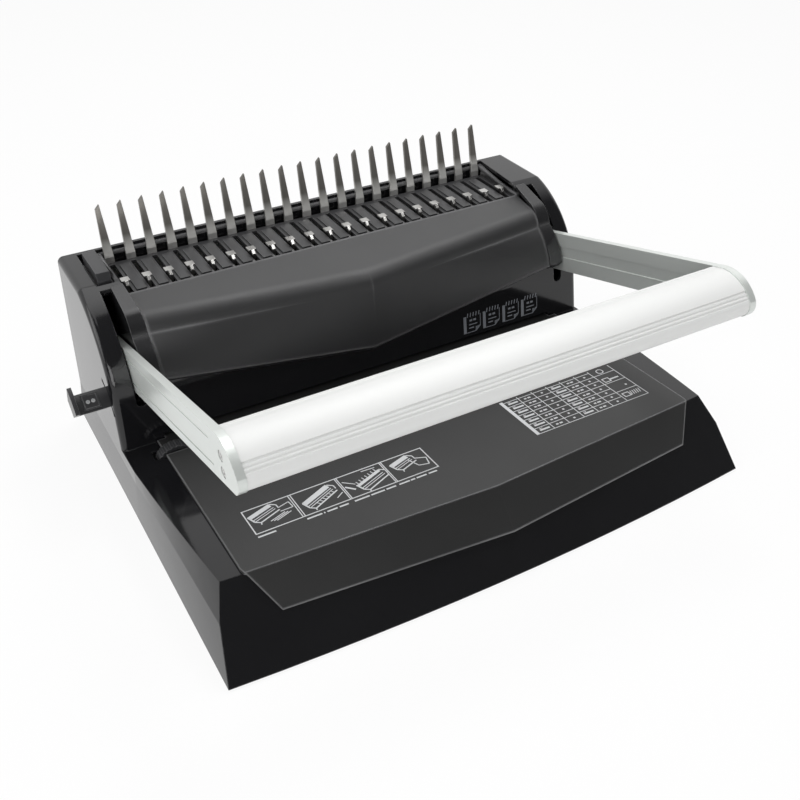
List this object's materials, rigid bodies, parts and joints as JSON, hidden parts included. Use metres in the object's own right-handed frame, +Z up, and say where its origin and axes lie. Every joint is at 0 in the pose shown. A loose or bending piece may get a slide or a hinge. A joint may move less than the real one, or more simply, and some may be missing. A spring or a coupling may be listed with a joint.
{
  "type": "comb binding machine",
  "caption": "Desk comb binding machine: a pull-down handle drives a row of punches and opens plastic combs on steel fingers above a ribbed well.",
  "frame": {"origin": "centre of the whole machine's bounding box, on the surface that its feet stand on", "axes": "+X across the machine to its right as the user faces it, +Y from the front to the back, +Z up"},
  "size_m": [0.3792, 0.2862, 0.154],
  "materials": {
    "gloss_black": "glossy black moulded plastic",
    "matte_grey": "fine-grained dark grey plastic",
    "well_black": "satin black plastic",
    "base_metal": "black painted sheet steel",
    "rubber_black": "soft black rubber",
    "steel": "plain stamped and ground steel",
    "zinc": "bright zinc plated screws",
    "hard_steel": "hardened ground steel",
    "spring_steel": "bright spring wire",
    "bronze": "sintered bronze",
    "alu_grip": "satin silver anodised",
    "alu_arm": "satin silver anodised, brushed along its length",
    "lever_black": "satin black plastic",
    "tray_black": "satin black plastic"
  },
  "bodies": {
    "frame": {"main_housing": "gloss_black", "bottom_plate": "base_metal", "rubber_feet": "rubber_black", "base_screws": "zinc", "frame_screws": "zinc", "table_plate": "matte_grey", "hood": "matte_grey", "hood_end_cap_right": "gloss_black", "hood_end_cap_left": "gloss_black", "slot_grille": "well_black", "finger_plate": "steel", "finger_rail": "steel", "finger_screws": "zinc", "shaft_bushings": "bronze", "die_plate": "hard_steel", "punch_guide_plate": "steel", "return_springs": "spring_steel", "tie_rods": "steel", "side_plate_right": "steel", "side_plate_left": "steel", "plate_screws": "zinc", "lever_bracket": "steel"},
    "handle_crank": {"handle_arm_right": "alu_arm", "handle_arm_left": "alu_arm", "handle_grip": "alu_grip", "grip_screws": "zinc", "main_shaft": "steel", "hub_screws": "zinc", "sector_gear": "steel", "punch_cams": "hard_steel"},
    "hook_carriage": {"hook_plate": "steel", "hook_rack": "steel"},
    "punch_carriage": {"punch_beam": "steel", "punch_pins": "hard_steel"},
    "depth_control": {"depth_lever": "lever_black"},
    "paper_stop": {"back_stop": "steel"},
    "thumb_wheel": {"edge_wheel": "lever_black"},
    "side_guide": {"edge_guide": "lever_black"},
    "size_control": {"comb_size_slider": "well_black"},
    "chip_drawer": {"chip_tray": "tray_black"}
  },
  "joints": [
    {"name": "handle_hinge", "type": "hinge", "parent": "frame", "child": "handle_crank", "pos_m": [0.0094, 0.07927, 0.0783], "axis": [1, 0, 0], "range_deg": [-65, 12]},
    {"name": "hook_slide", "type": "slide", "parent": "frame", "child": "hook_carriage", "axis": [0, -1, 0], "range_m": [-0.0296, 0.0055]},
    {"name": "punch_slide", "type": "slide", "parent": "frame", "child": "punch_carriage", "axis": [0, 0, -1], "range_m": [-0.0072, 0.0014], "deforming": ["return_springs"]},
    {"name": "depth_hinge", "type": "hinge", "parent": "frame", "child": "depth_control", "pos_m": [-0.1536, 0.07027, 0.0485], "axis": [1, 0, 0], "range_deg": [-12, 12]},
    {"name": "stop_slide", "type": "slide", "parent": "frame", "child": "paper_stop", "axis": [0, 1, 0], "range_m": [-0.00146, 0.00146]},
    {"name": "wheel_hinge", "type": "hinge", "parent": "frame", "child": "thumb_wheel", "pos_m": [-0.139, 0.02277, 0.0305], "axis": [0, 1, 0], "range_deg": [-25, 25]},
    {"name": "guide_slide", "type": "slide", "parent": "frame", "child": "side_guide", "axis": [1, 0, 0], "range_m": [-0.0026, 0.0026]},
    {"name": "size_slide", "type": "slide", "parent": "frame", "child": "size_control", "axis": [0, 1, 0], "range_m": [0, 0.008]},
    {"name": "tray_slide", "type": "slide", "parent": "frame", "child": "chip_drawer", "axis": [0, 1, 0], "range_m": [0, 0.09]}
  ],
  "couplings": [
    {"joint": "hook_slide", "follows": "handle_hinge", "m_per_rad": 0.026},
    {"joint": "punch_slide", "follows": "handle_hinge", "m_per_rad": 0.0063},
    {"joint": "depth_hinge", "follows": "stop_slide", "rad_per_m": -142.86},
    {"joint": "wheel_hinge", "follows": "guide_slide", "rad_per_m": -166.67}
  ]
}
